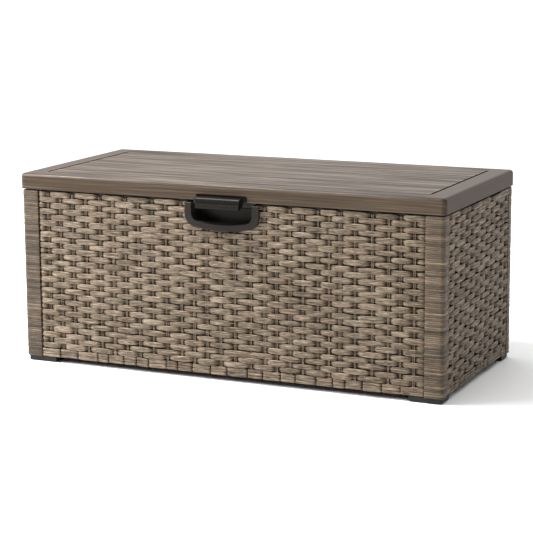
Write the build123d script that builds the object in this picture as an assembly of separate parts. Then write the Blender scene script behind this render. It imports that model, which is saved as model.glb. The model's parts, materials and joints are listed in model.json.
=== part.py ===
from build123d import *
import os

# Deck storage box: a knock-down resin box with woven-look walls, a hinged lid and a sprung latch.
# The frame: origin on the floor under the middle of the box, +X to the right, +Y to the back, +Z up.
# All sizes are in millimetres. Each function returns the solids of one kind of piece.

# Driving dimensions.
LENGTH, WIDTH, HEIGHT = 840.0, 390.0, 360.0  # over the closed lid
LID_OVERHANG = 2.0  # of the lid past the walls
LID_LIP = 29.0  # height of the lid's edge
LID_WALL = 4.0
LID_CORNER_R, LID_EDGE_R = 9.0, 6.5
GROOVE_X, GROOVE_Y = 380.0, 157.0  # the grooves that frame the lid's top
END_GROOVE, END_GROOVE_DEEP = 4.0, 1.8
SIDE_GROOVE, SIDE_GROOVE_DEEP = 1.0, 0.9
SEAM_GAP = 2.0  # between the walls' top and the lid's lip
FOOT_HEIGHT = 10.0
PANEL_THICK = 16.0
TONGUE, TONGUE_THICK, TONGUE_INSET = 8.0, 6.0, 5.0  # a panel's edge, held in a post's slot
POST_LONG, POST_END, POST_CORNER_R = 35.0, 23.0, 8.0  # a post's width on the long walls and the ends
POST_WALL = 4.0
FLOOR_BASE, FLOOR_THICK, FLOOR_GROOVE, FLOOR_RIB = 18.0, 8.0, 4.0, 6.0
RAIL_THICK, RAIL_BASE, RAIL_TOP = 5.0, 319.0, 345.0  # the rain lip inside the lid
BUFFER_HEIGHT, BUFFER_LENGTH = 2.0, 24.0
FOOT_LONG, FOOT_END, FOOT_INSET = 60.0, 38.0, 3.0

HINGE_PLACES = {"left": -280.0, "middle": 0.0, "right": 280.0}
HINGE_Y, HINGE_Z = 201.0, 327.0  # the lid's axis
KNUCKLE_R, HINGE_PIN_R, HINGE_RUN = 5.5, 2.0, 0.06
HINGE_HALF, KNUCKLE_HALF, KNUCKLE_GAP = 24.0, 10.5, 0.5
LEAF_THICK = 2.0

CUP_HALF, CUP_RIM, CUP_TOP, CUP_LOW = 74.0, 14.0, 326.0, 276.0
CUP_FRONT, CUP_BACK, CUP_ROOF = -197.0, -158.0, 318.0
CUP_WALL = 3.0
NOTCH_HALF, NOTCH_TOP, NOTCH_R = 50.8, 342.0, 4.0
FLAP_HALF, FLAP_CAP = 43.0, 3.0
LATCH_Y, LATCH_Z = -201.0, 331.0  # the flap's axis
LATCH_PIN_R, LATCH_RUN = 1.5, 0.05
EAR_THICK, EAR_GAP = 6.0, 1.2
SPRING_X = 12.0

# Places that follow from them.
BODY_X, BODY_Y = LENGTH / 2 - LID_OVERHANG, WIDTH / 2 - LID_OVERHANG
LID_BOTTOM = HEIGHT - LID_LIP
BODY_TOP = LID_BOTTOM - SEAM_GAP
POST_X, POST_Y = BODY_X - POST_LONG, BODY_Y - POST_END  # where a panel meets a post
INNER_X, INNER_Y = BODY_X - PANEL_THICK, BODY_Y - PANEL_THICK  # the walls' inner faces
LIP_X, LIP_Y = LENGTH / 2 - LID_WALL, WIDTH / 2 - LID_WALL  # the lid lip's inner faces
LID_UNDER = HEIGHT - LID_WALL
LINER_BASE = RAIL_TOP + BUFFER_HEIGHT
SIDES = {"left": -1, "right": 1}
CORNERS = {
    "front_left": (-1, -1),
    "front_right": (1, -1),
    "back_left": (-1, 1),
    "back_right": (1, 1),
}


def block(x, y, z):
    """A box between two limits on each axis."""
    spans = [sorted(pair) for pair in (x, y, z)]
    size = [high - low for low, high in spans]
    middle = [(high + low) / 2 for low, high in spans]
    return Pos(*middle) * Box(*size)


def rod(start, direction, radius, length):
    """A cylinder from a point along a direction."""
    return Solid.make_cylinder(radius, length, Plane(origin=start, z_dir=direction))


def screw(head_point, direction, shank_r, length, head_r, head_h):
    """A pan-head screw: head_point is under its head, and direction runs to its tip."""
    back = [-d for d in direction]
    head = rod(head_point, back, head_r, head_h)
    top = head.faces().sort_by(Axis(head_point, back))[-1]
    head = fillet(top.edges(), head_h * 0.5)
    return head + rod(head_point, direction, shank_r, length)


def mirrored(shape, corner):
    """A front-right shape moved to another corner."""
    sign_x, sign_y = corner
    if sign_x < 0:
        shape = mirror(shape, about=Plane.YZ)
    if sign_y > 0:
        shape = mirror(shape, about=Plane.XZ)
    return shape


def cup_outline(half, low, top, corner, bow):
    """A U that is open at its top, as a face on XZ: straight arms, round corners and a bowed foot."""
    knee = low + bow
    arc = corner * 0.29
    edge = [
        Line((-half, top), (half, top)),
        Line((half, top), (half, knee + corner)),
        ThreePointArc((half, knee + corner), (half - arc, knee + arc), (half - corner, knee)),
        ThreePointArc((half - corner, knee), (0, low), (corner - half, knee)),
        ThreePointArc((corner - half, knee), (arc - half, knee + arc), (-half, knee + corner)),
        Line((-half, knee + corner), (-half, top)),
    ]
    return make_face(edge)


def along_y(face, front, back):
    """A face drawn in (x, z), made solid between two depths."""
    return extrude(Plane((0, back, 0), x_dir=(1, 0, 0), z_dir=(0, -1, 0)) * face, back - front)


def along_x(face, low, high):
    """A face drawn in (y, z), made solid between two places along X."""
    return extrude(Plane((low, 0, 0), x_dir=(0, 1, 0), z_dir=(1, 0, 0)) * face, high - low)


# The latch cup's pocket: its inner outline and the hole that it needs in the front wall.
POCKET = {"half": CUP_HALF - CUP_RIM, "low": CUP_LOW + 12.0, "corner": 15.0, "bow": 4.0}
POCKET_HOLE = {
    "half": POCKET["half"] + CUP_WALL,
    "low": POCKET["low"] - CUP_WALL,
    "corner": POCKET["corner"] + CUP_WALL,
    "bow": POCKET["bow"],
}

# Fasteners, each as its screws' places under the head.
HINGE_SCREW = {"shank_r": 1.9, "length": 9.0, "head_r": 3.6, "head_h": 1.6}
RAIL_SCREW = {"shank_r": 1.8, "length": 14.0, "head_r": 3.4, "head_h": 1.6}
SMALL_SCREW = {"shank_r": 1.3, "length": 6.0, "head_r": 2.6, "head_h": 1.4}
FOOT_SCREW = {"shank_r": 2.0, "length": 22.0, "head_r": 4.0, "head_h": 2.4}
FOOT_SCREW_X, FOOT_SCREW_Y, FOOT_SCREW_Z = BODY_X - 21.0, BODY_Y - 11.0, 6.0
HINGE_SCREW_X, LEAF_SCREW_LOW, LEAF_SCREW_HIGH = 16.0, 306.0, 344.0
RAIL_SCREW_Z = 324.0
RAIL_LONG_SCREWS, RAIL_END_SCREWS = (-340.0, -140.0, 140.0, 340.0), (-130.0, 130.0)
BRACKET_SCREWS = [(x, z) for x in (-58.0, 58.0) for z in (338.0, 347.0)]
CUP_SCREWS = [(x, z) for x in (-68.0, 68.0) for z in (296.0, 312.0)]
KEEPER_SCREWS = [(x, 336.0) for x in (-9.0, 9.0)]
LINER_SCREWS = [(x, y) for x in (-370.0, 0.0, 370.0) for y in (-150.0, 150.0)]


def joined(pieces):
    """Separate solids kept in one node."""
    return Compound(children=list(pieces))


def foot_screws():
    """One screw up through each foot into its post."""
    low = (FOOT_SCREW_X, -FOOT_SCREW_Y, FOOT_SCREW_Z)
    one = screw(low, (0, 0, 1), **FOOT_SCREW)
    return [mirrored(one, corner) for corner in CORNERS.values()]


def rail_screws():
    """Screws through the rails into the walls, from inside the box."""
    out = []
    for side in (-1, 1):
        for x in RAIL_LONG_SCREWS:
            point = (x, side * (INNER_Y - RAIL_THICK), RAIL_SCREW_Z)
            out.append(screw(point, (0, side, 0), **RAIL_SCREW))
        for y in RAIL_END_SCREWS:
            point = (side * (INNER_X - RAIL_THICK), y, RAIL_SCREW_Z)
            out.append(screw(point, (side, 0, 0), **RAIL_SCREW))
    return out


def leaf_screws(height, face):
    """Two screws in each hinge leaf, from behind; face is the leaf's outer face."""
    return [
        screw((place + dx, face, height), (0, -1, 0), **HINGE_SCREW)
        for place in HINGE_PLACES.values()
        for dx in (-HINGE_SCREW_X, HINGE_SCREW_X)
    ]


def wall_leaf_screws():
    return leaf_screws(LEAF_SCREW_LOW, BODY_Y + LEAF_THICK)


def lid_leaf_screws():
    return leaf_screws(LEAF_SCREW_HIGH, WIDTH / 2 + LEAF_THICK)


def cup_screws():
    """Screws from inside the front wall into the cup's rim."""
    depth = {**SMALL_SCREW, "length": PANEL_THICK + 3.0}
    return [screw((x, -INNER_Y, z), (0, -1, 0), **depth) for x, z in CUP_SCREWS]


def keeper_screws():
    return [screw((x, -INNER_Y - 2.0, z), (0, 1, 0), **SMALL_SCREW) for x, z in KEEPER_SCREWS]


def bracket_screws():
    return [screw((x, -LIP_Y + 3.5, z), (0, -1, 0), **SMALL_SCREW) for x, z in BRACKET_SCREWS]


def liner_screws():
    size = {**SMALL_SCREW, "length": 11.0}
    return [screw((x, y, LINER_BASE), (0, 0, 1), **size) for x, y in LINER_SCREWS]


def long_panel(side):
    """A front or back wall: a moulded slab with a tongue at each end and a groove for the floor."""
    outer, inner = side * BODY_Y, side * INNER_Y
    panel = block((-POST_X, POST_X), (outer, inner), (FOOT_HEIGHT, BODY_TOP))
    tongue_y = (outer - side * TONGUE_INSET, outer - side * (TONGUE_INSET + TONGUE_THICK))
    panel += block((-POST_X - TONGUE, POST_X + TONGUE), tongue_y, (FOOT_HEIGHT, BODY_TOP))
    groove_y = (inner, inner + side * FLOOR_GROOVE)
    panel -= block((-POST_X, POST_X), groove_y, (FLOOR_BASE, FLOOR_BASE + FLOOR_THICK))
    return panel


def front_panel():
    """The front wall, cut away at its top middle for the latch cup."""
    hole = cup_outline(top=BODY_TOP, **POCKET_HOLE)
    panel = long_panel(-1) - along_y(hole, -BODY_Y, -INNER_Y)
    return panel - joined(cup_screws()) - joined(rail_screws())


def back_panel():
    return long_panel(1) - joined(wall_leaf_screws()) - joined(rail_screws())


def end_panel(side):
    """A side wall, made as the long walls are."""
    outer, inner = side * BODY_X, side * INNER_X
    panel = block((outer, inner), (-POST_Y, POST_Y), (FOOT_HEIGHT, BODY_TOP))
    tongue_x = (outer - side * TONGUE_INSET, outer - side * (TONGUE_INSET + TONGUE_THICK))
    panel += block(tongue_x, (-POST_Y - TONGUE, POST_Y + TONGUE), (FOOT_HEIGHT, BODY_TOP))
    groove_x = (inner, inner + side * FLOOR_GROOVE)
    panel -= block(groove_x, (-POST_Y, POST_Y), (FLOOR_BASE, FLOOR_BASE + FLOOR_THICK))
    return panel - joined(rail_screws())


def corner_post(corner):
    """A hollow corner post with a round outer edge and a slot for each wall's tongue."""
    post = block((POST_X, BODY_X), (-BODY_Y, -POST_Y), (FOOT_HEIGHT, BODY_TOP))
    outer_edge = post.edges().filter_by(Axis.Z).sort_by(Axis((0, 0, 0), (1, -1, 0)))[-1]
    post = fillet(outer_edge, POST_CORNER_R)
    tongue_y = (-BODY_Y + TONGUE_INSET, -BODY_Y + TONGUE_INSET + TONGUE_THICK)
    tongue_x = (BODY_X - TONGUE_INSET, BODY_X - TONGUE_INSET - TONGUE_THICK)
    height = (FOOT_HEIGHT, BODY_TOP)
    post -= block((POST_X, POST_X + TONGUE), tongue_y, height)
    post -= block(tongue_x, (-POST_Y - TONGUE, -POST_Y), height)
    core_x = (POST_X + TONGUE + POST_WALL, tongue_x[1] - POST_WALL)
    core_y = (-BODY_Y + POST_WALL, -POST_Y - POST_WALL)
    post -= block(core_x, core_y, (FOOT_HEIGHT + 22.0, BODY_TOP - POST_WALL))
    return mirrored(post, corner) - joined(foot_screws())


def floor_panel():
    """The floor: a ribbed slab held in the walls' grooves, notched round the posts."""
    reach_x, reach_y = INNER_X + FLOOR_GROOVE, INNER_Y + FLOOR_GROOVE
    height = (FLOOR_BASE, FLOOR_BASE + FLOOR_THICK)
    slab = block((-reach_x, reach_x), (-reach_y, reach_y), height)
    for sign_x, sign_y in CORNERS.values():
        slab -= block((sign_x * POST_X, sign_x * BODY_X), (sign_y * POST_Y, sign_y * BODY_Y), height)
    for x in (-300.0, -150.0, 0.0, 150.0, 300.0):
        slab += block((x - 4, x + 4), (-INNER_Y, INNER_Y), (FLOOR_BASE - FLOOR_RIB, FLOOR_BASE))
    return slab


def foot(corner):
    """A corner foot, set in from the walls, with chamfered ends and a sunk screw."""
    x, y = BODY_X - FOOT_INSET, -BODY_Y + FOOT_INSET
    pad = block((x - FOOT_LONG, x), (y, y + FOOT_END), (0, FOOT_HEIGHT))
    upright = pad.edges().filter_by(Axis.Z).sort_by(Axis((0, 0, 0), (1, -1, 0)))[-1]
    pad = fillet(upright, POST_CORNER_R - FOOT_INSET)
    pad = chamfer(pad.edges().group_by(Axis.Z)[0], 2.0)
    pad -= rod((FOOT_SCREW_X, -FOOT_SCREW_Y, 0), (0, 0, 1), FOOT_SCREW["head_r"] + 0.5, FOOT_SCREW_Z)
    return mirrored(pad, corner) - joined(foot_screws())


def long_rail(side):
    """A rail along a long wall's inner top edge, standing up into the lid to keep rain out."""
    depth = (side * INNER_Y, side * (INNER_Y - RAIL_THICK))
    rail = block((-POST_X, POST_X), depth, (RAIL_BASE, RAIL_TOP))
    rail = fillet(rail.edges().filter_by(Axis.X).group_by(Axis.Z)[-1], 1.5)
    return rail - joined(rail_screws()) - joined(keeper_screws())


def end_rail(side):
    """A rail along an end wall's inner top edge."""
    depth = (side * INNER_X, side * (INNER_X - RAIL_THICK))
    rail = block(depth, (-POST_Y, POST_Y), (RAIL_BASE, RAIL_TOP))
    rail = fillet(rail.edges().filter_by(Axis.Y).group_by(Axis.Z)[-1], 1.5)
    return rail - joined(rail_screws())


def lid_buffer(corner):
    """A soft pad on a rail, under the closed lid."""
    x, y = 300.0, -INNER_Y
    depth = (y + 1.5, y + RAIL_THICK - 1.5)
    pad = block((x - BUFFER_LENGTH / 2, x + BUFFER_LENGTH / 2), depth, (RAIL_TOP, LINER_BASE))
    return mirrored(pad, corner)


def lid_skin():
    """The lid: a thin top with a deep lip, a notch for the latch and a frame of grooves on its top."""
    outline = RectangleRounded(LENGTH, WIDTH, LID_CORNER_R)
    skin = Pos(0, 0, LID_BOTTOM) * extrude(outline, LID_LIP)
    skin = fillet(skin.edges().group_by(Axis.Z)[-1], LID_EDGE_R)
    hollow = RectangleRounded(2 * LIP_X, 2 * LIP_Y, LID_CORNER_R - LID_WALL)
    skin -= Pos(0, 0, LID_BOTTOM) * extrude(hollow, LID_UNDER - LID_BOTTOM)
    for place in HINGE_PLACES.values():
        boss_x = (place - HINGE_HALF - 2.0, place + HINGE_HALF + 2.0)
        skin += block(boss_x, (LIP_Y - 6.0, LIP_Y), (LID_BOTTOM + 2.0, LID_UNDER))
    for x, y in LINER_SCREWS:
        skin += rod((x, y, LINER_BASE + 2.5), (0, 0, 1), 5.0, LID_UNDER - LINER_BASE - 2.5)
    for side in SIDES.values():
        x, y = side * GROOVE_X, side * GROOVE_Y
        across = (x - END_GROOVE / 2, x + END_GROOVE / 2)
        skin -= block(across, (-GROOVE_Y, GROOVE_Y), (HEIGHT - END_GROOVE_DEEP, HEIGHT))
        across = (y - SIDE_GROOVE / 2, y + SIDE_GROOVE / 2)
        skin -= block((-GROOVE_X, GROOVE_X), across, (HEIGHT - SIDE_GROOVE_DEEP, HEIGHT))
    notch = Rectangle(2 * NOTCH_HALF, 2 * (NOTCH_TOP - LID_BOTTOM))
    notch = fillet(notch.vertices(), NOTCH_R)
    skin -= along_y(Pos(0, LID_BOTTOM) * notch, -WIDTH / 2 - 1.0, -LIP_Y + 1.0)
    return skin - joined(bracket_screws()) - joined(lid_leaf_screws()) - joined(liner_screws())


def lid_liner():
    """The lid's inner tray, closed against the skin's underside, with stiffening ribs."""
    half_x, half_y, wall, plate = 392.0, 166.0, 2.5, 2.5
    liner = Pos(0, 0, LINER_BASE) * extrude(RectangleRounded(2 * half_x, 2 * half_y, 8.0), plate)
    reach_y = INNER_Y - 1.5  # the plate's long edges lie on the buffers
    liner += block((-330.0, 330.0), (-reach_y, reach_y), (LINER_BASE, LINER_BASE + plate))
    height = (LINER_BASE + plate, LID_UNDER)
    outline = RectangleRounded(2 * half_x, 2 * half_y, 8.0)
    core = RectangleRounded(2 * (half_x - wall), 2 * (half_y - wall), 8.0 - wall)
    ring = Pos(0, 0, height[0]) * extrude(outline - core, LID_UNDER - height[0])
    liner += ring
    for x in (-262.0, -88.0, 88.0, 262.0):
        liner += block((x - 1.5, x + 1.5), (wall - half_y, half_y - wall), height)
    return liner - joined(liner_screws())


def knuckle(low, high, bore):
    """One barrel of a hinge, with its bore."""
    barrel = rod((low, HINGE_Y, HINGE_Z), (1, 0, 0), KNUCKLE_R, high - low)
    return barrel, rod((low - 1, HINGE_Y, HINGE_Z), (1, 0, 0), bore, high - low + 2)


def wall_leaf(place):
    """The hinge leaf on the back wall, with its two outer knuckles."""
    face = (BODY_Y, BODY_Y + LEAF_THICK)
    leaf = block((place - HINGE_HALF, place + HINGE_HALF), face, (HINGE_Z - 31.0, HINGE_Z - 6.5))
    bores = []
    for low, high in ((-HINGE_HALF, -KNUCKLE_HALF - KNUCKLE_GAP), (KNUCKLE_HALF + KNUCKLE_GAP, HINGE_HALF)):
        barrel, bore = knuckle(place + low, place + high, HINGE_PIN_R)
        leaf += block((place + low, place + high), face, (HINGE_Z - 7.0, HINGE_Z))
        leaf += block((place + low, place + high), (BODY_Y, HINGE_Y), (HINGE_Z - KNUCKLE_R, HINGE_Z - 2.6))
        leaf += barrel
        bores.append(bore)
    for bore in bores:
        leaf -= bore
    return leaf - joined(wall_leaf_screws())


def lid_leaf(place):
    """The hinge leaf on the lid's back edge, with its middle knuckle."""
    face = (WIDTH / 2, WIDTH / 2 + LEAF_THICK)
    leaf = block((place - HINGE_HALF, place + HINGE_HALF), face, (LID_BOTTOM + 2.0, LID_BOTTOM + 21.0))
    leaf += block((place - KNUCKLE_HALF, place + KNUCKLE_HALF), face, (HINGE_Z, LID_BOTTOM + 2.0))
    barrel, bore = knuckle(place - KNUCKLE_HALF, place + KNUCKLE_HALF, HINGE_PIN_R + HINGE_RUN)
    leaf += barrel
    leaf -= bore
    return leaf - joined(lid_leaf_screws())


def hinge_pin(place):
    """A pin with a head at each end, fixed in the wall leaf."""
    pin = rod((place - HINGE_HALF, HINGE_Y, HINGE_Z), (1, 0, 0), HINGE_PIN_R, 2 * HINGE_HALF)
    for side in SIDES.values():
        pin += rod((place + side * HINGE_HALF, HINGE_Y, HINGE_Z), (side, 0, 0), HINGE_PIN_R + 1.2, 1.2)
    return pin


def latch_cup():
    """The finger recess: a U-shaped rim on the front wall with a pocket behind it."""
    rim = cup_outline(CUP_HALF, CUP_LOW, CUP_TOP, 24.0, 5.5)
    cup = along_y(rim, CUP_FRONT, -BODY_Y)
    front_edges = cup.faces().sort_by(Axis.Y)[0].edges()
    cup = fillet(front_edges, 2.0)
    shell = cup_outline(top=CUP_TOP, **POCKET_HOLE)
    cup += along_y(shell, -BODY_Y, -INNER_Y)
    deep = cup_outline(top=CUP_ROOF, **POCKET_HOLE)
    cup += along_y(deep, -INNER_Y, CUP_BACK)
    cup -= along_y(cup_outline(top=CUP_TOP, **POCKET), CUP_FRONT, -INNER_Y)
    cup -= along_y(cup_outline(top=CUP_ROOF - CUP_WALL, **POCKET), -INNER_Y, CUP_BACK - CUP_WALL)
    return cup - joined(cup_screws())


def keeper():
    """The strike for the latch's tooth, screwed to the front rail."""
    plate = block((-14, 14), (-INNER_Y - 2.0, -INNER_Y), (BODY_TOP - 1.0, RAIL_TOP - 2.0))
    plate += block((-14, 14), (-BODY_Y - 0.5, -INNER_Y), (BODY_TOP - 1.0, BODY_TOP + 1.0))
    return plate - joined(keeper_screws())


def flap_profile():
    """The flap's outer line in (y, z), from its top back edge over the front to its bottom edge."""
    return [
        Line((-195.5, 339.0), (-207.5, 338.4)),
        ThreePointArc((-207.5, 338.4), (-211.6, 336.9), (-213.2, 333.6)),
        Line((-213.2, 333.6), (-213.9, 329.6)),
        Line((-213.9, 329.6), (-213.1, 329.0)),
        Line((-213.1, 329.0), (-213.1, 328.4)),
        Line((-213.1, 328.4), (-215.0, 327.4)),
        Line((-215.0, 327.4), (-215.0, 321.0)),
        ThreePointArc((-215.0, 321.0), (-214.3, 319.2), (-212.5, 318.5)),
        Line((-212.5, 318.5), (-211.3, 318.5)),
    ]


def latch_flap():
    """The hooded flap on the lid's notch: a curved front, an end cap each side and a tooth behind."""
    hood = make_face(
        flap_profile()
        + [
            Line((-211.3, 318.5), (-211.0, 331.0)),
            ThreePointArc((-211.0, 331.0), (-209.8, 334.1), (-206.8, 335.3)),
            Line((-206.8, 335.3), (-195.5, 335.5)),
            Line((-195.5, 335.5), (-195.5, 339.0)),
        ]
    )
    cheek = Polyline((-211.3, 318.5), (-206.0, 322.0), (-197.0, 325.5), (-195.5, 330.0), (-195.5, 339.0))
    cap = make_face(flap_profile() + [cheek])
    flap = along_x(hood, -FLAP_HALF, FLAP_HALF)
    flap += along_x(cap, -FLAP_HALF, FLAP_CAP - FLAP_HALF)
    flap += along_x(cap, FLAP_HALF - FLAP_CAP, FLAP_HALF)
    flap += block((-8, 8), (-212.0, -193.0), (322.5, 326.0))
    run = LATCH_PIN_R + LATCH_RUN
    return flap - rod((-FLAP_HALF - 1, LATCH_Y, LATCH_Z), (1, 0, 0), run, 2 * FLAP_HALF + 2)


def latch_bracket():
    """The plate behind the lid's notch, with an outer ear on the left and an inner one on the right."""
    plate = block((-66, 66), (-LIP_Y, -LIP_Y + 3.5), (LID_BOTTOM + 1.0, LID_BOTTOM + 21.0))
    plate -= block((-46, 46), (-LIP_Y, -LIP_Y + 1.2), (LID_BOTTOM, LID_BOTTOM + 12.0))
    back = -LIP_Y + 3.5
    outer_ear = make_face(
        [
            Polyline((back, 331.4), (back, 338.6), (-200.0, 338.2), (-206.6, 334.6), (-206.6, 330.6)),
            ThreePointArc((-206.6, 330.6), (-204.4, 326.2), (-200.0, 324.6)),
            Polyline((-200.0, 324.6), (-195.4, 328.0), (-195.4, 331.4), (back, 331.4)),
        ]
    )
    ear_x = -FLAP_HALF - EAR_GAP
    plate += along_x(outer_ear, ear_x - EAR_THICK, ear_x)
    inner_x = (FLAP_HALF - FLAP_CAP - 0.6 - EAR_THICK, FLAP_HALF - FLAP_CAP - 0.6)
    plate += block(inner_x, (-200.0, back), (325.4, 329.0))
    plate += block(inner_x, (back - 2.2, back), (325.4, LID_BOTTOM + 2.0))
    plate += rod((inner_x[0], LATCH_Y, LATCH_Z), (1, 0, 0), 3.4, EAR_THICK)
    plate += block((SPRING_X + 6, SPRING_X + 15), (back - 2.2, back), (325.4, LID_BOTTOM + 2.0))
    plate -= rod((SPRING_X + 11.0, back - 3.0, LATCH_Z - 3.0), (0, 1, 0), 0.9, 4.0)  # holds the spring's leg
    plate -= rod((-66, LATCH_Y, LATCH_Z), (1, 0, 0), LATCH_PIN_R, 132)
    return plate - joined(bracket_screws())


def latch_pin():
    low = -FLAP_HALF - EAR_GAP - EAR_THICK
    return rod((low, LATCH_Y, LATCH_Z), (1, 0, 0), LATCH_PIN_R, FLAP_HALF - low)


def latch_spring():
    """A torsion spring round the latch's pin, with one leg on the bracket and one on the flap."""
    wire, coil, pitch, turns = 0.45, 3.0, 1.3, 8
    helix = Helix(pitch, pitch * turns, coil, direction=(1, 0, 0))
    path = Pos(SPRING_X, LATCH_Y, LATCH_Z) * Rot(180, 0, 0) * helix  # both its ends are at the coil's foot
    section = Plane(origin=path @ 0, z_dir=path % 0) * Circle(wire)
    spring = sweep(section, path=path, is_frenet=True)
    head, tail = path @ 0, path @ 1
    spring += rod(head, -(path % 0), wire, 7.0) + rod(tail, path % 1, wire, 8.8)
    return spring


os.makedirs("parts", exist_ok=True)
nodes = {
    "floor_panel": floor_panel(),
    "front_panel": front_panel(),
    "back_panel": back_panel(),
    "front_rail": long_rail(-1),
    "back_rail": long_rail(1),
    "foot_screws": joined(foot_screws()),
    "rail_screws": joined(rail_screws()),
    "latch_cup": latch_cup(),
    "latch_cup_screws": joined(cup_screws()),
    "latch_keeper": keeper(),
    "latch_keeper_screws": joined(keeper_screws()),
    "hinge_wall_screws": joined(wall_leaf_screws()),
    "lid_skin": lid_skin(),
    "lid_liner": lid_liner(),
    "lid_liner_screws": joined(liner_screws()),
    "hinge_lid_screws": joined(lid_leaf_screws()),
    "latch_bracket": latch_bracket(),
    "latch_bracket_screws": joined(bracket_screws()),
    "latch_pin": latch_pin(),
    "latch_spring": latch_spring(),
    "latch_flap": latch_flap(),
}
for name, side in SIDES.items():
    nodes[f"{name}_panel"] = end_panel(side)
    nodes[f"{name}_rail"] = end_rail(side)
for name, corner in CORNERS.items():
    nodes[f"corner_post_{name}"] = corner_post(corner)
    nodes[f"foot_{name}"] = foot(corner)
    nodes[f"lid_buffer_{name}"] = lid_buffer(corner)
for name, place in HINGE_PLACES.items():
    nodes[f"hinge_wall_leaf_{name}"] = wall_leaf(place)
    nodes[f"hinge_lid_leaf_{name}"] = lid_leaf(place)
    nodes[f"hinge_pin_{name}"] = hinge_pin(place)
for name, shape in nodes.items():
    export_step(shape, f"parts/{name}.step")
print(len(nodes), "nodes")
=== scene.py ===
import json
import math

import bpy
import numpy as np
from mathutils import Matrix, Vector


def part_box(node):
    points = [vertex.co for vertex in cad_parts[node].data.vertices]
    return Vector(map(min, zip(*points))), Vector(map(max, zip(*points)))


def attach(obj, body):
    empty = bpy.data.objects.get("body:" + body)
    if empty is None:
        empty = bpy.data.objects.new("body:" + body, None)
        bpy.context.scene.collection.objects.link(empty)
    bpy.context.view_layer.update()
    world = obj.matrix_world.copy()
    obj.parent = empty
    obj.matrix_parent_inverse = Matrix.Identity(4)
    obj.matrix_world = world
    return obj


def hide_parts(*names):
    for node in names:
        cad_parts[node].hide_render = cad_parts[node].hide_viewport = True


# A deck storage box. The CAD solids keep their shapes and get their finishes here; the four walls
# and the four corner posts are replaced by real woven strands. Lengths are in metres.

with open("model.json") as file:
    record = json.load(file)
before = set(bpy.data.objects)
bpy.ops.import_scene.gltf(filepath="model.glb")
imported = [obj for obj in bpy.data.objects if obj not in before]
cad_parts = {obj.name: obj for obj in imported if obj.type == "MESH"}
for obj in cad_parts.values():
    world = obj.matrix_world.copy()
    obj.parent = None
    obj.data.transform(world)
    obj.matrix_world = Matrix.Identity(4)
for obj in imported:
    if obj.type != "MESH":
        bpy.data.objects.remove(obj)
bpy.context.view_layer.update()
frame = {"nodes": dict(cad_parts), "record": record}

# ---------------------------------------------------------------- the object's sizes
MM = 0.001
SEAM = 0.9 * MM                      # the walls stop this far under the CAD's, for a dark seam
WALL_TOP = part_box("front_panel")[1].z - SEAM
WALL_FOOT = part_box("front_panel")[0].z
BODY_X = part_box("right_panel")[1].x
BODY_Y = -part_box("front_panel")[0].y
INNER_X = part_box("right_panel")[0].x
INNER_Y = -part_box("front_panel")[1].y
POST_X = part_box("corner_post_front_right")[0].x
POST_Y = -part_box("corner_post_front_right")[1].y
LID_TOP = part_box("lid_skin")[1].z
CUP_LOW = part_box("latch_cup")[0].z
CUP_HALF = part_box("latch_cup")[1].x

WEAVE_DEPTH = 4.4 * MM               # from the walls' outer face to the stakes' middle
SLAB_DEPTH = 8.8 * MM                # from the outer face to the slab behind the weave
RIM_TALL = 1.6 * MM
POST_TUCK = 8.0 * MM                 # the slabs run this far behind the posts
BORDER_TOP = 27.6 * MM
ROW, ROWS = 10.72 * MM, 28
STAKES_FRONT = [-364, -338, -311, -283, -253, -226, -200, -173, -144, -116, -86, -60, -34, -7, 22,
                53, 81, 104, 130, 155, 184, 205, 226, 254, 286, 316, 338, 363]
STAKES_BACK = [-362, -334, -307, -281, -252, -224, -197, -171, -141, -113, -87, -59, -31, -5, 24,
               51, 79, 107, 132, 160, 187, 214, 240, 268, 297, 324, 345, 365]
STAKES_RIGHT = [-156, -129, -101, -71, -43, -15, 14, 42, 71, 99, 128, 154]
STAKES_LEFT = [-154, -127, -98, -70, -41, -14, 13, 43, 70, 101, 127, 155]

# A strand: four reeds side by side, bowed out over one stake and dropping behind the next.
STRAND_HALF, STRAND_THICK = 5.3 * MM, 2.3 * MM
FLOAT_OUT, FLOAT_BOW, DIVE_IN = 2.8 * MM, 1.7 * MM, 2.9 * MM
CORD_ZONE = 3.3 * MM                 # from a stake's middle to where its cords begin
PAST_END = 14 * MM                   # from a wall's end to the stake hidden in the post
END_ROUND, END_DROP = 1.6 * MM, 1.2 * MM
REED_CUT = 1.15 * MM                 # the gaps between reeds are 0.3 to 1.3 times this deep
SECTIONS = np.array([0.0, 0.07, 0.15, 0.27, 0.42, 0.58, 0.73, 0.85, 0.93])

# The strand's outline: heights from -1 to 1, three gaps between the reeds, and a flat back.
FRONT_UP = np.array([-1, -0.95, -0.82, -0.66, -0.56, -0.5, -0.44, -0.3, -0.16, -0.06, 0.0,
                     0.06, 0.16, 0.3, 0.44, 0.5, 0.56, 0.66, 0.82, 0.95, 1])
FRONT_OUT = np.sqrt(1 - np.abs(FRONT_UP) ** 2.3)
BACK_UP, BACK_OUT = np.array([0.7, 0.0, -0.7]), np.full(3, -0.8)
REED_GAPS = [np.exp(-((FRONT_UP - middle) / 0.09) ** 2) for middle in (-0.5, 0.0, 0.5)]
REED_OF_POINT = np.clip(((FRONT_UP + 1) * 2).astype(int), 0, 3)

# The posts' wrap. The outline says, at places up a strand's height, how far it is sunk into the
# groove between it and the next: 0 at its crest, 1 at the groove's bottom. The sunk places are
# painted darker, as painted shade in the grooves.
POST_RADIUS, POST_EDGE = 8.0 * MM, 1.4 * MM
SKIN_X, SKIN_Y = 8.0 * MM, 9.0 * MM   # how deep the wrap goes, along the box and across it
WRAP_PROUD, WRAP_GROOVE, WRAP_SWAY = 0.5 * MM, 0.8 * MM, 0.25 * MM
WRAP_OUTLINE = ((0.0, 0.95), (0.1, 0.45), (0.28, 0.1), (0.5, 0.0), (0.72, 0.1), (0.9, 0.45))

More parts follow.
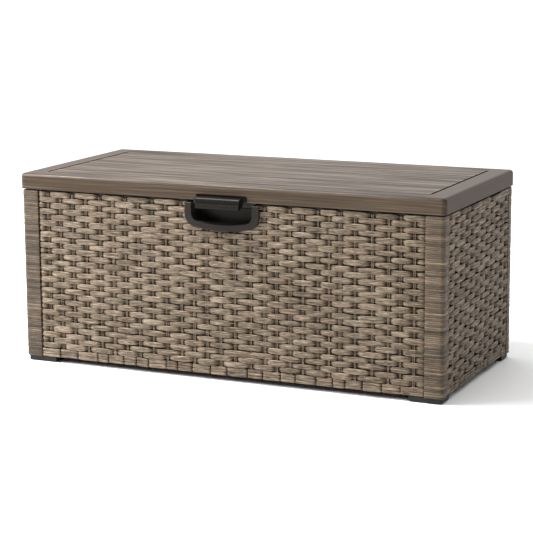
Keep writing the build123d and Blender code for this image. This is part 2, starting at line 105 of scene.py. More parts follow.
# The lid's top, measured from the box's middle: its smooth end bands and its grooves.
LID_BAND, LID_BAND_Y = 0.3800, 0.1905
END_GROOVE, END_GROOVE_Y = (0.3778, 0.3822), 0.1572
SUNK_X, SUNK_Y = 0.3821, 0.1585


# ---------------------------------------------------------------- meshes
def per_point(values, shape):
    """A value for the mesh, for each section or for each point, as one value for each point."""
    values = np.asarray(values, float)
    if values.ndim == 1:
        values = values[:, None]
    return np.broadcast_to(values, shape).ravel()


class Build:
    """Gathers closed tubes into one mesh, with a tone and a hue at every point."""

    def __init__(self):
        self.points, self.tones, self.hues = [], [], []
        self.loops, self.sizes = [], []
        self.count = 0

    def tube(self, rings, tone, hue):
        """rings is (sections, points, 3): each section is a loop, and both ends are capped."""
        sections, around = rings.shape[:2]
        index = self.count + np.arange(sections * around).reshape(sections, around)
        turned = np.roll(index, -1, 1)
        quads = np.stack([index[:-1], turned[:-1], turned[1:], index[1:]], -1).reshape(-1, 4)
        self.loops += [quads.ravel(), index[0][::-1], index[-1]]
        self.sizes += [np.full(len(quads), 4), np.array([around, around])]
        self.points.append(rings.reshape(-1, 3))
        self.tones.append(per_point(tone, (sections, around)))
        self.hues.append(per_point(hue, (sections, around)))
        self.count += sections * around

    def piece(self, name, place, material, slot, stands_for=(), smooth=True):
        """The mesh as a piece of the tub; place turns its points into the object's frame."""
        points = place(np.concatenate(self.points)).astype(np.float32)
        loops = np.concatenate(self.loops).astype(np.int32)
        sizes = np.concatenate(self.sizes)
        starts = np.concatenate([[0], np.cumsum(sizes)[:-1]]).astype(np.int32)
        mesh = bpy.data.meshes.new(name)
        mesh.vertices.add(len(points))
        mesh.vertices.foreach_set("co", points.ravel())
        mesh.loops.add(len(loops))
        mesh.loops.foreach_set("vertex_index", loops)
        mesh.polygons.add(len(sizes))
        mesh.polygons.foreach_set("loop_start", starts)
        mesh.polygons.foreach_set("use_smooth", np.full(len(sizes), smooth))
        mesh.update(calc_edges=True)
        for key, values in (("tone", self.tones), ("hue", self.hues)):
            paint(mesh, key, np.concatenate(values))
        mesh.materials.append(material)
        obj = bpy.data.objects.new(name, mesh)
        bpy.context.scene.collection.objects.link(obj)
        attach(obj, "tub")
        if stands_for:
            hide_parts(*stands_for)
        return obj


def paint(mesh, key, values):
    """Stores one number for each point, for the materials to read."""
    layer = mesh.attributes.new(key, "FLOAT", "POINT")
    layer.data.foreach_set("value", values.astype(np.float32))


class Place:
    """A wall's own axes: along it, out of its outer face, and up."""

    def __init__(self, along, out, reach):
        self.along, self.out, self.reach = np.array(along, float), np.array(out, float), reach

    def __call__(self, points):
        u, d, z = points[:, 0:1], points[:, 1:2], points[:, 2:3]
        return u * self.along + (self.reach + d) * self.out + z * np.array([0, 0, 1.0])


def smoothstep(low, high, x):
    t = np.clip((x - low) / (high - low), 0, 1)
    return t * t * (3 - 2 * t)


def wander(rng, x, length, size):
    """A smooth random line along x that changes over about `length`."""
    span = max(float(x.max() - x.min()), length)
    knots = rng.normal(0, size, int(span / length) + 4)
    return np.interp((x - x.min()) / length, np.arange(len(knots)), knots)


# ---------------------------------------------------------------- the weave
def cup_reach(z):
    """Half the width at height z that the latch cup's rim covers, or zero under it."""
    foot, knee = CUP_LOW + 6.0 * MM, CUP_LOW + 11.5 * MM
    straight, corner = 50 * MM, 18.0 * MM
    if z <= foot:
        return 0.0
    if z <= knee:
        return straight * math.sqrt((z - foot) / (knee - foot))
    drop = max(knee + corner - z, 0)
    return straight + math.sqrt(corner ** 2 - drop ** 2)


def row_spans(z, low, high, cup):
    """The stretches of a row at height z: one, or one on each side of the latch cup."""
    reach = cup_reach(z) if cup else 0.0
    return [(low, high)] if reach == 0 else [(low, -reach), (reach, high)]


def section_places(stakes, a, b):
    """Where a strand from a to b has its sections: nine between each two stakes, and its ends."""
    between = (stakes[:-1, None] + np.diff(stakes)[:, None] * SECTIONS).ravel()
    u = np.array(sorted(x for x in [a, *between, b] if a <= x <= b))
    u = u[np.concatenate([[True], np.diff(u) > 0.4 * MM])]
    u[-1] = b
    return u


def strands(rng, stakes, low, high, cup):
    """The rows of strands, even and odd apart, weaving in front of and behind the stakes."""
    stakes = np.concatenate([[low - PAST_END], stakes, [high + PAST_END]])
    apart = np.diff(stakes)
    patches = rng.normal(0, 1, (9, 24))
    builds = [Build(), Build()]
    for row in range(ROWS):
        z = BORDER_TOP + ROW * (row + 0.5)
        shallow = rng.random(len(stakes)) < 0.03     # now and then a strand hardly drops
        own_tone = rng.normal(0, 1, len(stakes))
        own_hue = rng.normal(0, 1, len(stakes))
        own_lift = rng.normal(0, 0.35 * MM, len(stakes))
        own_size = rng.normal(1.0, 0.07, len(stakes))
        for a, b in row_spans(z, low, high, cup):
            u = section_places(stakes, a, b)
            k = np.clip(np.searchsorted(stakes, u, "right") - 1, 0, len(stakes) - 2)
            t = (u - stakes[k]) / apart[k]
            over_left = (k + row) % 2 == 1           # in front of the stake on the left
            over = np.where(over_left, k, k + 1)     # the stake the strand passes in front of
            under = np.where(over_left, k + 1, k)    # and the one it passes behind
            s = np.where(over_left, t, 1 - t)        # 0 at the first, 1 at the second
            s = np.where(shallow[under], s * 0.72, s)
            edge = 1 - CORD_ZONE / apart[k]
            dive = smoothstep(edge - 0.2, edge + 0.04, s)
            bow = FLOAT_OUT - FLOAT_BOW * (s / edge).clip(0, 1) ** 2
            depth = bow * (1 - dive) - DIVE_IN * dive + wander(rng, u, 60 * MM, 0.18 * MM)
            end_in = smoothstep(0, END_ROUND, u - a) * smoothstep(0, END_ROUND, b - u)
            depth = depth * end_in - END_DROP * (1 - end_in)
            narrow = 1 - 0.4 * smoothstep(edge - 0.34, edge + 0.02, s)
            half = STRAND_HALF * (0.8 + 0.2 * end_in) * own_size[over] * narrow
            thick = STRAND_THICK * (1 - 0.3 * dive)
            lift = wander(rng, u, 90 * MM, 0.5 * MM) + own_lift[over] * (1 - dive)

            front_out = FRONT_OUT[None, :] * thick[:, None]
            for gap in REED_GAPS:
                cut = REED_CUT * (0.3 + rng.random(len(stakes))[over]) * (1 - 0.3 * dive)
                front_out = front_out - gap[None, :] * cut[:, None]
            lean = np.stack([wander(rng, u, 20 * MM, 0.32 * MM) for _ in range(4)], 1)
            front_out += lean[:, REED_OF_POINT] * (1 - np.abs(FRONT_UP)[None, :] ** 6)
            shift = wander(rng, u, 30 * MM, 0.09)[:, None]
            front_up = (FRONT_UP + (1 - np.abs(FRONT_UP)) * shift) * half[:, None]
            back_up, back_out = BACK_UP * half[:, None], BACK_OUT * thick[:, None]

            ring = np.empty((len(u), len(FRONT_UP) + len(BACK_UP), 3))
            ring[:, :, 0] = u[:, None]
            ring[:, :, 1] = depth[:, None] - WEAVE_DEPTH + np.concatenate([front_out, back_out], 1)
            ring[:, :, 2] = z + lift[:, None] + np.concatenate([front_up, back_up], 1)
            column = np.clip(((u - low) / (high - low) * 20).astype(int), 0, 23)
            patch = patches[min(int(row / 3.4), 8), column]
            # The tone drops where the strand dives behind a stake: painted shade in the slits.
            tone = 0.52 + 0.05 * own_tone[over] + 0.03 * patch - 0.34 * dive
            builds[row % 2].tube(ring[:, ::-1], tone, 0.4 + 0.2 * own_hue[over])
    return builds


def stake_cords(rng, stakes, cup):
    """Each stake: two or three thin round cords side by side."""
    build = Build()
    height = np.arange(WALL_FOOT + 1 * MM, WALL_TOP - 0.8 * MM, 3.6 * MM)
    angle = np.linspace(0, 2 * math.pi, 8, endpoint=False)
    for stake in stakes:
        number = 3 if rng.random() < 0.45 else 2
        spread = 2.3 * MM if number == 3 else 2.75 * MM
        for i in range(number):
            x = stake + (i - (number - 1) / 2) * spread + wander(rng, height, 45 * MM, 0.22 * MM)
            r = (0.72 + 0.08 * rng.normal()) * MM + wander(rng, height, 20 * MM, 0.05 * MM)
            z = height
            if cup:
                reaches = np.array([cup_reach(h) for h in z])
                clear = (abs(stake) > reaches - 3 * MM) | (reaches == 0)
                if not clear.all():
                    last = np.argmin(clear)
                    x, r, z = x[:last], r[:last], z[:last]
            ring = np.empty((len(z), len(angle), 3))
            ring[:, :, 0] = x[:, None] + r[:, None] * np.cos(angle)
            ring[:, :, 1] = 0.1 * MM - WEAVE_DEPTH + r[:, None] * np.sin(angle) * 0.95
            ring[:, :, 2] = z[:, None]
            build.tube(ring[:, ::-1], 0.74 + 0.06 * rng.normal(), 0.35 + 0.15 * rng.normal())
    return build


def foot_border(rng, low, high):
    """The band along the wall's foot: short blocks of two or three flat strands."""
    build = Build()
    turn = np.linspace(0, 2 * math.pi, 12, endpoint=False)
    across = np.sign(np.cos(turn)) * np.abs(np.cos(turn)) ** 0.7
    upward = np.sign(np.sin(turn)) * np.abs(np.sin(turn)) ** 0.7
    near_end = np.array([0, 0.5, 1.6, 3.6]) * MM
    x = low
    while x < high - 1 * MM:
        width = rng.uniform(19, 44) * MM
        if high - (x + width) < 16 * MM:
            width = high - x
        a, b = x + 0.7 * MM, x + width - 0.7 * MM
        lines = 3 if rng.random() < 0.75 else 2
        tall = (BORDER_TOP - WALL_FOOT - 1.6 * MM) / lines
        block_tone, block_hue = rng.normal(0, 1), rng.normal(0, 1)
        for i in range(lines):
            u = np.concatenate([a + near_end, np.linspace(a + 6 * MM, b - 6 * MM, 5), b - near_end[::-1]])
            edge = np.minimum(u - a, b - u)
            full = np.sqrt(1 - (1 - np.clip(edge / (2.6 * MM), 0, 1)) ** 2)
            half = tall * 0.51 * (0.66 + 0.34 * full) + wander(rng, u, 15 * MM, 0.1 * MM)
            depth = (0.85 + 0.4 * rng.normal()) * MM + wander(rng, u, 18 * MM, 0.2 * MM)
            depth -= 1.5 * MM * (1 - full)
            thick = 2.5 * MM * (0.25 + 0.75 * full)
            middle = WALL_FOOT + 0.9 * MM + tall * (i + 0.5) + wander(rng, u, 20 * MM, 0.25 * MM)
            ring = np.empty((len(u), len(turn), 3))
            ring[:, :, 0] = u[:, None]
            ring[:, :, 1] = depth[:, None] - WEAVE_DEPTH + thick[:, None] * across
            ring[:, :, 2] = middle[:, None] + half[:, None] * upward
            tone = 0.5 + 0.06 * block_tone + 0.05 * rng.normal()
            build.tube(ring[:, ::-1], tone, 0.4 + 0.2 * block_hue)
        x += width
    return build


def weave(name, place, stakes, low, high, seed, cup=False):
    """A woven wall between two posts."""
    rng = np.random.default_rng(seed)
    stakes = np.array(stakes, float) * MM
    even, odd = strands(rng, stakes, low, high, cup)
    cords, border = stake_cords(rng, stakes, cup), foot_border(rng, low, high)
    even.piece(name + "_strands_even", place, resin, "woven_resin", (name + "_panel",))
    odd.piece(name + "_strands_odd", place, resin, "woven_resin")
    cords.piece(name + "_stakes", place, resin, "woven_resin")
    border.piece(name + "_border", place, resin, "woven_resin")


def prism(build, outline, near, far):
    """A closed prism from an (along, up) outline between two depths."""
    outline = np.array(outline, float)
    rings = np.empty((2, len(outline), 3))
    rings[:, :, 0], rings[:, :, 2] = outline[:, 0], outline[:, 1]
    rings[0, :, 1], rings[1, :, 1] = near, far
    build.tube(rings, 0.5, 0.5)


def slab(name, place, reach, thick, cup=False):
    """The plain wall behind the weave, and the rim along its top, both open for the latch cup; both are
    painted dark as shade, in the weave's gaps and in the seam under the lid.
    """
    foot, top = WALL_FOOT, WALL_TOP - RIM_TALL
    outline = [(-reach, foot), (reach, foot), (reach, top)]
    if cup:
        half, low, knee, corner = CUP_HALF - 11.3 * MM, CUP_LOW + 9.3 * MM, CUP_LOW + 13.3 * MM, 18.0 * MM
        arc = [(half - corner + corner * math.cos(angle), knee + corner - corner * math.sin(angle))
               for angle in np.linspace(0, math.pi / 2, 8)]
        mirror = [(-x, z) for x, z in reversed(arc)]
        outline += [(half, top)] + arc + [(0.0, low)] + mirror + [(-half, top)]
    outline += [(-reach, top)]
    wall = Build()
    prism(wall, outline[::-1], -SLAB_DEPTH, -thick)
    wall.piece(name + "_slab", place, shade_dark_resin, "inner_resin", smooth=False)
    rim = Build()
    beside = CUP_HALF - 4 * MM
    for a, b in [(-reach, -beside), (beside, reach)] if cup else [(-reach, reach)]:
        prism(rim, [(a, top), (a, WALL_TOP), (b, WALL_TOP), (b, top)], -SLAB_DEPTH, -thick)
    rim.piece(name + "_rim", place, shade_dark_resin, "inner_resin", smooth=False)


def post_outline():
    """A post's plan in its own quarter: points, outward directions, and how many are outside."""
    x0, x1 = POST_X + 0.2 * MM, BODY_X + WRAP_PROUD
    y0, y1 = POST_Y + 0.2 * MM, BODY_Y + WRAP_PROUD
    points, normals = [], []

    def arc(cx, cy, r, start, stop, steps):
        for angle in np.linspace(start, stop, steps):
            points.append((cx + r * math.cos(angle), cy + r * math.sin(angle)))
            normals.append((math.cos(angle), math.sin(angle)))

    arc(x0 + POST_EDGE, y1 - POST_EDGE, POST_EDGE, math.pi, math.pi / 2, 4)
    for part in (0.25, 0.5, 0.75):
        points.append((x0 + POST_EDGE + (x1 - POST_RADIUS - x0 - POST_EDGE) * part, y1))
        normals.append((0, 1))
    arc(x1 - POST_RADIUS, y1 - POST_RADIUS, POST_RADIUS, math.pi / 2, 0, 9)
    points.append((x1, y1 - POST_RADIUS - (y1 - POST_RADIUS - y0 - POST_EDGE) * 0.5))
    normals.append((1, 0))
    arc(x1 - POST_EDGE, y0 + POST_EDGE, POST_EDGE, 0, -math.pi / 2, 4)
    shown = len(points)
    points += [(x1 - SKIN_X, y0), (x1 - SKIN_X, y1 - SKIN_Y), (x0, y1 - SKIN_Y)]
    normals += [(0, 0)] * 3
    return np.array(points), np.array(normals), shown


def post(name, sign_x, sign_y, seed, shade_of):
    """A corner post wrapped in thin flat strands."""
    rng = np.random.default_rng(seed)
    points, normals, shown = post_outline()
    steps = np.hypot(*np.diff(points[:shown], axis=0).T)
    along = np.concatenate([[0], np.cumsum(steps)])
    rows = []                        # height, lean, inset and tone of each loop round the post
    z = WALL_FOOT
    while z < WALL_TOP - 0.4 * MM:
        tall = min(rng.uniform(2.9, 4.2) * MM, WALL_TOP - z)
        if WALL_TOP - (z + tall) < 1.2 * MM:
            tall = WALL_TOP - z
        lean = wander(rng, along, 14 * MM, 0.18 * MM)
        proud = rng.normal(0, 0.16 * MM) + wander(rng, along, 12 * MM, 0.1 * MM)
        proud = proud.clip(-WRAP_SWAY, WRAP_SWAY) + WRAP_SWAY
        tone = shade_of + 0.11 * rng.normal() + wander(rng, along, 16 * MM, 0.05)
        for part, sunk in WRAP_OUTLINE:
            # The tone falls towards the groove's bottom: painted shade between the wrapped strands.
            rows.append((z + tall * part, lean * math.sin(math.pi * part),
                         sunk * WRAP_GROOVE + proud, tone - 0.42 * sunk ** 2))
        z += tall
    rows.append((WALL_TOP, 0 * along, 0.9 * MM + 0 * along, tone))
    rings = np.zeros((len(rows), len(points), 3))
    shade = np.full((len(rows), len(points)), 0.4)
    for i, (level, lean, inset, tone) in enumerate(rows):
        depth = np.zeros(len(points))
        depth[:shown] = inset
        rings[i, :, :2] = (points - normals * depth[:, None]) * (sign_x, sign_y)
        rings[i, :, 2] = level
        rings[i, :shown, 2] += lean
        shade[i, :shown] = tone
    rings[0, :, 2], rings[-1, :, 2] = WALL_FOOT, WALL_TOP
    if sign_x * sign_y > 0:
        rings, shade = rings[:, ::-1], shade[:, ::-1]
    build = Build()
    build.tube(rings, shade, 0.25 + 0.15 * rng.normal(size=len(rows)))
    piece = build.piece(name + "_wrap", WORLD, resin, "woven_resin", (name,))
    paint(piece.data, "calm", np.ones(len(piece.data.vertices)))


# ---------------------------------------------------------------- shader nodes
def shader(name):
    """A new material with a Principled shader, its tree and the shader."""
    material = bpy.data.materials.new(name)
    material.use_nodes = True
    tree = material.node_tree
    tree.nodes.clear()
    out = tree.nodes.new("ShaderNodeOutputMaterial")
    body = tree.nodes.new("ShaderNodeBsdfPrincipled")
    tree.links.new(body.outputs["BSDF"], out.inputs["Surface"])
    return material, tree, body


def link(tree, a, b):
    tree.links.new(a, b)


def coordinates(tree, scale):
    where = tree.nodes.new("ShaderNodeTexCoord")
    mapping = tree.nodes.new("ShaderNodeMapping")
    mapping.inputs["Scale"].default_value = scale
    link(tree, where.outputs["Object"], mapping.inputs["Vector"])
    return mapping.outputs["Vector"]


def separate(tree, output):
    """One output of the texture coordinates, as its x, y and z."""
    where = tree.nodes.new("ShaderNodeTexCoord")
    split = tree.nodes.new("ShaderNodeSeparateXYZ")
    link(tree, where.outputs[output], split.inputs["Vector"])
    return split.outputs["X"], split.outputs["Y"], split.outputs["Z"]


def noise(tree, vector, scale, detail=4.0, rough=0.55, distortion=0.0):
    node = tree.nodes.new("ShaderNodeTexNoise")
    node.inputs["Scale"].default_value = scale
    node.inputs["Detail"].default_value = detail
    node.inputs["Roughness"].default_value = rough
    node.inputs["Distortion"].default_value = distortion
    link(tree, vector, node.inputs["Vector"])
    return node.outputs["Fac"]


def ramp(tree, value, stops):
    node = tree.nodes.new("ShaderNodeValToRGB")
    elements = node.color_ramp.elements
    while len(elements) < len(stops):
        elements.new(0.5)
    for element, (place, colour) in zip(elements, stops):
        element.position = place
        element.color = (*colour, 1)
    link(tree, value, node.inputs["Fac"])
    return node.outputs["Color"]


def maths(tree, kind, a, b, clamp=False):
    node = tree.nodes.new("ShaderNodeMath")
    node.operation = kind
    node.use_clamp = clamp
    for socket, value in zip(node.inputs, (a, b)):
        if isinstance(value, (int, float)):
            socket.default_value = value
        else:
            link(tree, value, socket)
    return node.outputs["Value"]


def sway(tree, value, field, weight, clamp=False):
    """value, pushed up and down by a noise field that is 0.5 on average."""
    swing = maths(tree, "MULTIPLY", maths(tree, "SUBTRACT", field, 0.5), weight)
    return maths(tree, "ADD", value, swing, clamp)


def less(tree, start, field, weight):
    """start - field * weight"""
    return maths(tree, "SUBTRACT", start, maths(tree, "MULTIPLY", field, weight))


def inside(tree, value, low, high):
    """1 where low < value < high, else 0."""
    above = maths(tree, "GREATER_THAN", value, low)
    return maths(tree, "MULTIPLY", above, maths(tree, "LESS_THAN", value, high))


def mix(tree, factor, a, b):
    node = tree.nodes.new("ShaderNodeMix")
    node.data_type = "RGBA"
    for socket, value in ((node.inputs[0], factor), (node.inputs[6], a), (node.inputs[7], b)):
        if isinstance(value, tuple):
            socket.default_value = (*value, 1)
        else:
            link(tree, value, socket)
    return node.outputs[2]


def bump(tree, body, height, distance, strength, after=None):
    node = tree.nodes.new("ShaderNodeBump")
    node.inputs["Distance"].default_value = distance
    node.inputs["Strength"].default_value = strength
    link(tree, height, node.inputs["Height"])
    if after is not None:
        link(tree, after, node.inputs["Normal"])
    link(tree, node.outputs["Normal"], body.inputs["Normal"])
    return node.outputs["Normal"]


def attribute(tree, name):
    node = tree.nodes.new("ShaderNodeAttribute")
    node.attribute_name = name
    return node.outputs["Fac"]


# ---------------------------------------------------------------- materials
def woven_resin():
    """The strands: each has its own tone and hue, streaked along and across by noise; the tone also
    carries painted shade where strands drop behind stakes and in the posts' grooves.
    """
    material, tree, body = shader("woven_resin")
    fine = noise(tree, coordinates(tree, (120, 120, 900)), 1.0, 3.0, 0.6)
    streak = noise(tree, coordinates(tree, (42, 42, 330)), 1.0, 4.0, 0.65)
    cloud = noise(tree, coordinates(tree, (1, 1, 1)), 26.0, 3.0, 0.6)
    calm = attribute(tree, "calm")       # 1 on the posts, whose strands are less streaked
    value = sway(tree, attribute(tree, "tone"), streak, less(tree, 2.1, calm, 1.6))
    value = sway(tree, value, cloud, 0.35)
    value = sway(tree, value, fine, less(tree, 1.0, calm, 0.5), clamp=True)
    warm = ramp(tree, value, [(0.0, (0.030, 0.020, 0.012)), (0.35, (0.107, 0.074, 0.048)),
                              (0.65, (0.196, 0.143, 0.098)), (1.0, (0.335, 0.258, 0.186))])
    grey = ramp(tree, value, [(0.0, (0.028, 0.021, 0.013)), (0.35, (0.100, 0.077, 0.051)),
                              (0.65, (0.182, 0.146, 0.101)), (1.0, (0.312, 0.262, 0.189))])
    greyness = maths(tree, "MULTIPLY", attribute(tree, "hue"), 1.0, clamp=True)
    link(tree, mix(tree, greyness, warm, grey), body.inputs["Base Color"])
    body.inputs["Roughness"].default_value = 0.5
    body.inputs["Specular IOR Level"].default_value = 0.25
    first = bump(tree, body, fine, 0.0006, 0.8)
    bump(tree, body, streak, 0.0016, 0.8, first)
    return material


def painted_shade_resin():
    """The walls behind the weave, coloured dark as painted shade for the gaps between the strands; the
    inner resin parts take the same dark colour.
    """
    material, tree, body = shader("inner_resin")
    grain = noise(tree, coordinates(tree, (1, 1, 1)), 900.0, 2.0)
    cloud = noise(tree, coordinates(tree, (1, 1, 1)), 9.0, 3.0)
    # A colour well below the resin's own: painted shade in the weave's gaps.
    colour = ramp(tree, cloud, [(0.3, (0.040, 0.029, 0.021)), (0.7, (0.052, 0.039, 0.029))])
    link(tree, colour, body.inputs["Base Color"])
    body.inputs["Roughness"].default_value = 0.6
    bump(tree, body, grain, 0.0002, 0.4)
    return material


def grained_resin():
    """The lid: wood grain along it, smooth bands at its ends, and grooves painted near-black as painted
    shade.
    """
    material, tree, body = shader("grained_resin")
    across, deep, up = separate(tree, "Object")
    x, y = maths(tree, "ABSOLUTE", across, 0.0), maths(tree, "ABSOLUTE", deep, 0.0)

    band = maths(tree, "MULTIPLY", maths(tree, "GREATER_THAN", x, LID_BAND),
                 maths(tree, "LESS_THAN", y, LID_BAND_Y))
    ends = maths(tree, "MULTIPLY", inside(tree, x, *END_GROOVE),
                 maths(tree, "LESS_THAN", y, END_GROOVE_Y))
    ends = maths(tree, "MULTIPLY", ends, maths(tree, "GREATER_THAN", up, LID_TOP - 0.0030))
    sunk = maths(tree, "MULTIPLY", maths(tree, "LESS_THAN", x, SUNK_X),
                 maths(tree, "LESS_THAN", y, SUNK_Y))
    sunk = maths(tree, "MULTIPLY", inside(tree, up, LID_TOP - 0.0020, LID_TOP - 0.0003), sunk)
    groove = maths(tree, "MAXIMUM", sunk, ends)
    side = maths(tree, "LESS_THAN", up, LID_TOP - 0.0060)

    grain = noise(tree, coordinates(tree, (4.5, 118, 330)), 1.0, 4.0, 0.62, 0.25)
    fine = noise(tree, coordinates(tree, (9, 260, 560)), 1.0, 3.0, 0.6)
    broad = noise(tree, coordinates(tree, (2.2, 34, 150)), 1.0, 3.0, 0.5)
    speck = noise(tree, coordinates(tree, (1, 1, 1)), 260.0, 3.0, 0.6)
    value = maths(tree, "ADD", maths(tree, "MULTIPLY", grain, 0.62),
                  maths(tree, "MULTIPLY", broad, 0.20))
    value = maths(tree, "ADD", value, maths(tree, "MULTIPLY", fine, 0.18), clamp=True)
    wood = ramp(tree, value, [(0.39, (0.023, 0.0150, 0.0095)), (0.50, (0.057, 0.040, 0.0267)),
                              (0.61, (0.123, 0.090, 0.0630))])
    wood = mix(tree, maths(tree, "MULTIPLY", side, 0.45), wood, (0.068, 0.0505, 0.0362))
    smooth = ramp(tree, speck, [(0.3, (0.054, 0.039, 0.0275)), (0.7, (0.062, 0.045, 0.032))])
    # The grooves' walls and floors are painted near-black and lose their gloss: painted shade in the
    # grooves.
    colour = mix(tree, groove, mix(tree, band, wood, smooth), (0.010, 0.007, 0.005))
    link(tree, colour, body.inputs["Base Color"])

    satiny = ramp(tree, grain, [(0.38, (0.50,) * 3), (0.62, (0.30,) * 3)])
    link(tree, mix(tree, band, satiny, (0.42, 0.42, 0.42)), body.inputs["Roughness"])
    gloss = maths(tree, "MULTIPLY", less(tree, 0.2, side, 0.13), less(tree, 1.0, groove, 1.0))
    link(tree, gloss, body.inputs["Specular IOR Level"])
    rugged = less(tree, 1.0, band, 0.88)
    first = bump(tree, body, maths(tree, "MULTIPLY", grain, rugged), 0.0010, 0.6)
    bump(tree, body, maths(tree, "MULTIPLY", fine, rugged), 0.0004, 0.5, first)
    return material


def satin(name, dark, light, rough, metallic=0.0, grain_size=1400.0, rounding=0.0004, gloss=0.25):
    """A plain moulded or plated finish: slight cloudiness, a fine grain and softened edges."""
    material, tree, body = shader(name)
    cloud = noise(tree, coordinates(tree, (1, 1, 1)), 30.0, 4.0)
    grain = noise(tree, coordinates(tree, (1, 1, 1)), grain_size, 2.0)
    link(tree, ramp(tree, cloud, [(0.3, dark), (0.7, light)]), body.inputs["Base Color"])
    rough_map = ramp(tree, grain, [(0.3, (rough - 0.05,) * 3), (0.7, (rough + 0.05,) * 3)])
    link(tree, rough_map, body.inputs["Roughness"])
    body.inputs["Metallic"].default_value = metallic
    body.inputs["Specular IOR Level"].default_value = gloss
    soft = tree.nodes.new("ShaderNodeBevel")
    soft.samples = 4
    soft.inputs["Radius"].default_value = rounding
    bump(tree, body, grain, 0.00012, 0.35, soft.outputs["Normal"])
    return material


resin = woven_resin()
shade_dark_resin = painted_shade_resin()
grained = grained_resin()
latch = satin("latch_resin", (0.0160, 0.0136, 0.0112), (0.0205, 0.0174, 0.0144), 0.30,
              rounding=0.0016, gloss=0.10)
# A darker copy of the latch resin for the flap: painted shade on its front.
flap = satin("latch_resin_shaded_copy", (0.0080, 0.0065, 0.0052), (0.0100, 0.0082, 0.0066), 0.30,
             rounding=0.0012, gloss=0.10)
black = satin("black_resin", (0.010, 0.0098, 0.0095), (0.016, 0.0155, 0.015), 0.5)
rubber = satin("buffer_rubber", (0.016, 0.016, 0.016), (0.024, 0.024, 0.024), 0.75)
steel = satin("steel_fittings", (0.030, 0.030, 0.032), (0.052, 0.052, 0.054), 0.34,
              grain_size=2500.0, rounding=0.0003)

FINISH = {"woven_resin": resin, "grained_resin": grained, "latch_resin": latch,
          "black_resin": black, "inner_resin": shade_dark_resin, "buffer_rubber": rubber,
          "steel_fittings": steel}

slot_of = {row["node"]: row["material_slot"] for row in frame["record"]["subparts"]}
for name, obj in frame["nodes"].items():
    slot = slot_of[name]
    obj.data.materials.clear()
    # The flap takes the darker copy of the latch resin, as painted shade.
    obj.data.materials.append(flap if name == "latch_flap" else FINISH[slot])

# ---------------------------------------------------------------- the tub's walls and posts
WORLD = Place((1, 0, 0), (0, 1, 0), 0.0)      # the object's own frame, for the posts
FRONT = Place((1, 0, 0), (0, -1, 0), BODY_Y)
BACK = Place((-1, 0, 0), (0, 1, 0), BODY_Y)
RIGHT = Place((0, 1, 0), (1, 0, 0), BODY_X)
LEFT = Place((0, -1, 0), (-1, 0, 0), BODY_X)
thick_y, thick_x = BODY_Y - INNER_Y, BODY_X - INNER_X
edge_x, edge_y = POST_X + 0.7 * MM, POST_Y + 0.6 * MM
weave("front", FRONT, STAKES_FRONT, -edge_x, edge_x, 11, cup=True)
weave("back", BACK, STAKES_BACK, -edge_x, edge_x, 12)
weave("right", RIGHT, STAKES_RIGHT, -edge_y, edge_y, 13)
weave("left", LEFT, STAKES_LEFT, -edge_y, edge_y, 14)
slab("front", FRONT, POST_X + POST_TUCK, thick_y, cup=True)
slab("back", BACK, POST_X + POST_TUCK, thick_y)
slab("right", RIGHT, POST_Y + POST_TUCK, thick_x)
slab("left", LEFT, POST_Y + POST_TUCK, thick_x)
post("corner_post_front_left", -1, -1, 21, 0.25)
post("corner_post_front_right", 1, -1, 22, 0.35)
post("corner_post_back_left", -1, 1, 23, 0.36)
post("corner_post_back_right", 1, 1, 24, 0.38)

# ---------------------------------------------------------------- floor, camera and lights
bpy.ops.mesh.primitive_plane_add(size=160.0, location=(0, 0, 0))
floor = bpy.context.object
floor.name = "studio_floor"
material, tree, body = shader("studio_floor")
body.inputs["Base Color"].default_value = (0.90, 0.90, 0.90, 1)
body.inputs["Roughness"].default_value = 0.9
body.inputs["Specular IOR Level"].default_value = 0.1
floor.data.materials.append(material)

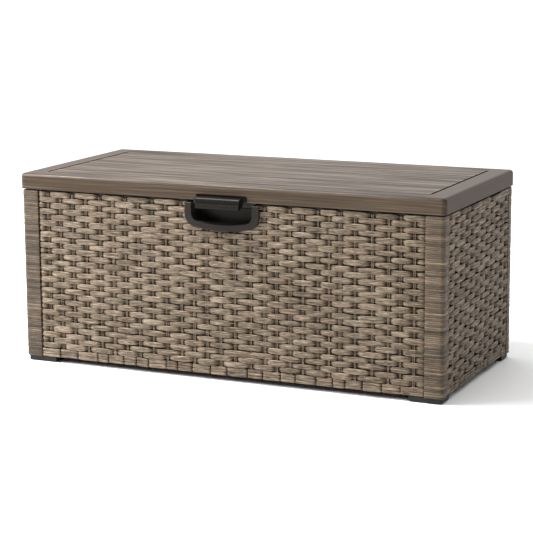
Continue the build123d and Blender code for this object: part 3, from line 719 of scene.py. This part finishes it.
# The camera that the photo's corners give, with the photo cropped off its axis.
CAMERA_AT = (1.4076, -3.0677, 0.8300)
CAMERA_LENS, SHIFT_X, SHIFT_Y = 122.8, 0.0383, -0.0260
yaw, pitch, roll = math.radians(25.33), math.radians(10.49), math.radians(-0.48)
forward = Vector((-math.sin(yaw) * math.cos(pitch), math.cos(yaw) * math.cos(pitch),
                  -math.sin(pitch)))
level = Vector((math.cos(yaw), math.sin(yaw), 0))
raised = level.cross(forward)
right = math.cos(roll) * level + math.sin(roll) * raised
up = math.cos(roll) * raised - math.sin(roll) * level
facing = Matrix((right, up, -forward)).transposed().to_4x4()
camera = bpy.data.objects.new("camera", bpy.data.cameras.new("camera"))
bpy.context.scene.collection.objects.link(camera)
camera.matrix_world = Matrix.Translation(CAMERA_AT) @ facing
camera.data.lens = CAMERA_LENS
camera.data.shift_x = SHIFT_X
camera.data.shift_y = SHIFT_Y
camera.data.clip_end = 400
bpy.context.scene.camera = camera


def area(name, place, turn, width, height, power):
    light = bpy.data.lights.new(name, "AREA")
    light.shape = "RECTANGLE"
    light.size, light.size_y = width, height
    light.energy = power
    obj = bpy.data.objects.new(name, light)
    obj.location = place
    obj.rotation_euler = turn
    bpy.context.scene.collection.objects.link(obj)


KEY_AT, KEY_TO = Vector((-2.2, -1.5, 1.55)), Vector((-0.1, -0.1, 0.2))
area("key", KEY_AT, (KEY_TO - KEY_AT).to_track_quat("-Z", "Y").to_euler(), 1.3, 1.3, 96)
area("strip", (-1.05, -0.575, 2.2), (0.2, -0.45, 0), 0.95, 0.3, 70)

# The studio round the box: bright overhead, more so to the left, and a lit wall behind.
world = bpy.data.worlds.new("studio")
bpy.context.scene.world = world
world.use_nodes = True
tree = world.node_tree
tree.nodes.clear()
out = tree.nodes.new("ShaderNodeOutputWorld")
sky = tree.nodes.new("ShaderNodeBackground")
link(tree, sky.outputs["Background"], out.inputs["Surface"])
x, y, z = separate(tree, "Generated")
overhead = ramp(tree, z, [(0.0, (0.12,) * 3), (0.55, (0.2,) * 3), (0.8, (1.0,) * 3)])
behind = maths(tree, "MULTIPLY", y, 0.66, clamp=True)
light = maths(tree, "ADD", maths(tree, "MULTIPLY", overhead, less(tree, 1.62, x, 0.95)), behind)
link(tree, light, sky.inputs["Color"])
sky.inputs["Strength"].default_value = 1.0

bpy.context.scene.view_settings.view_transform = "Standard"
bpy.context.scene.view_settings.look = "None"
bpy.context.scene.view_settings.exposure = 0.0
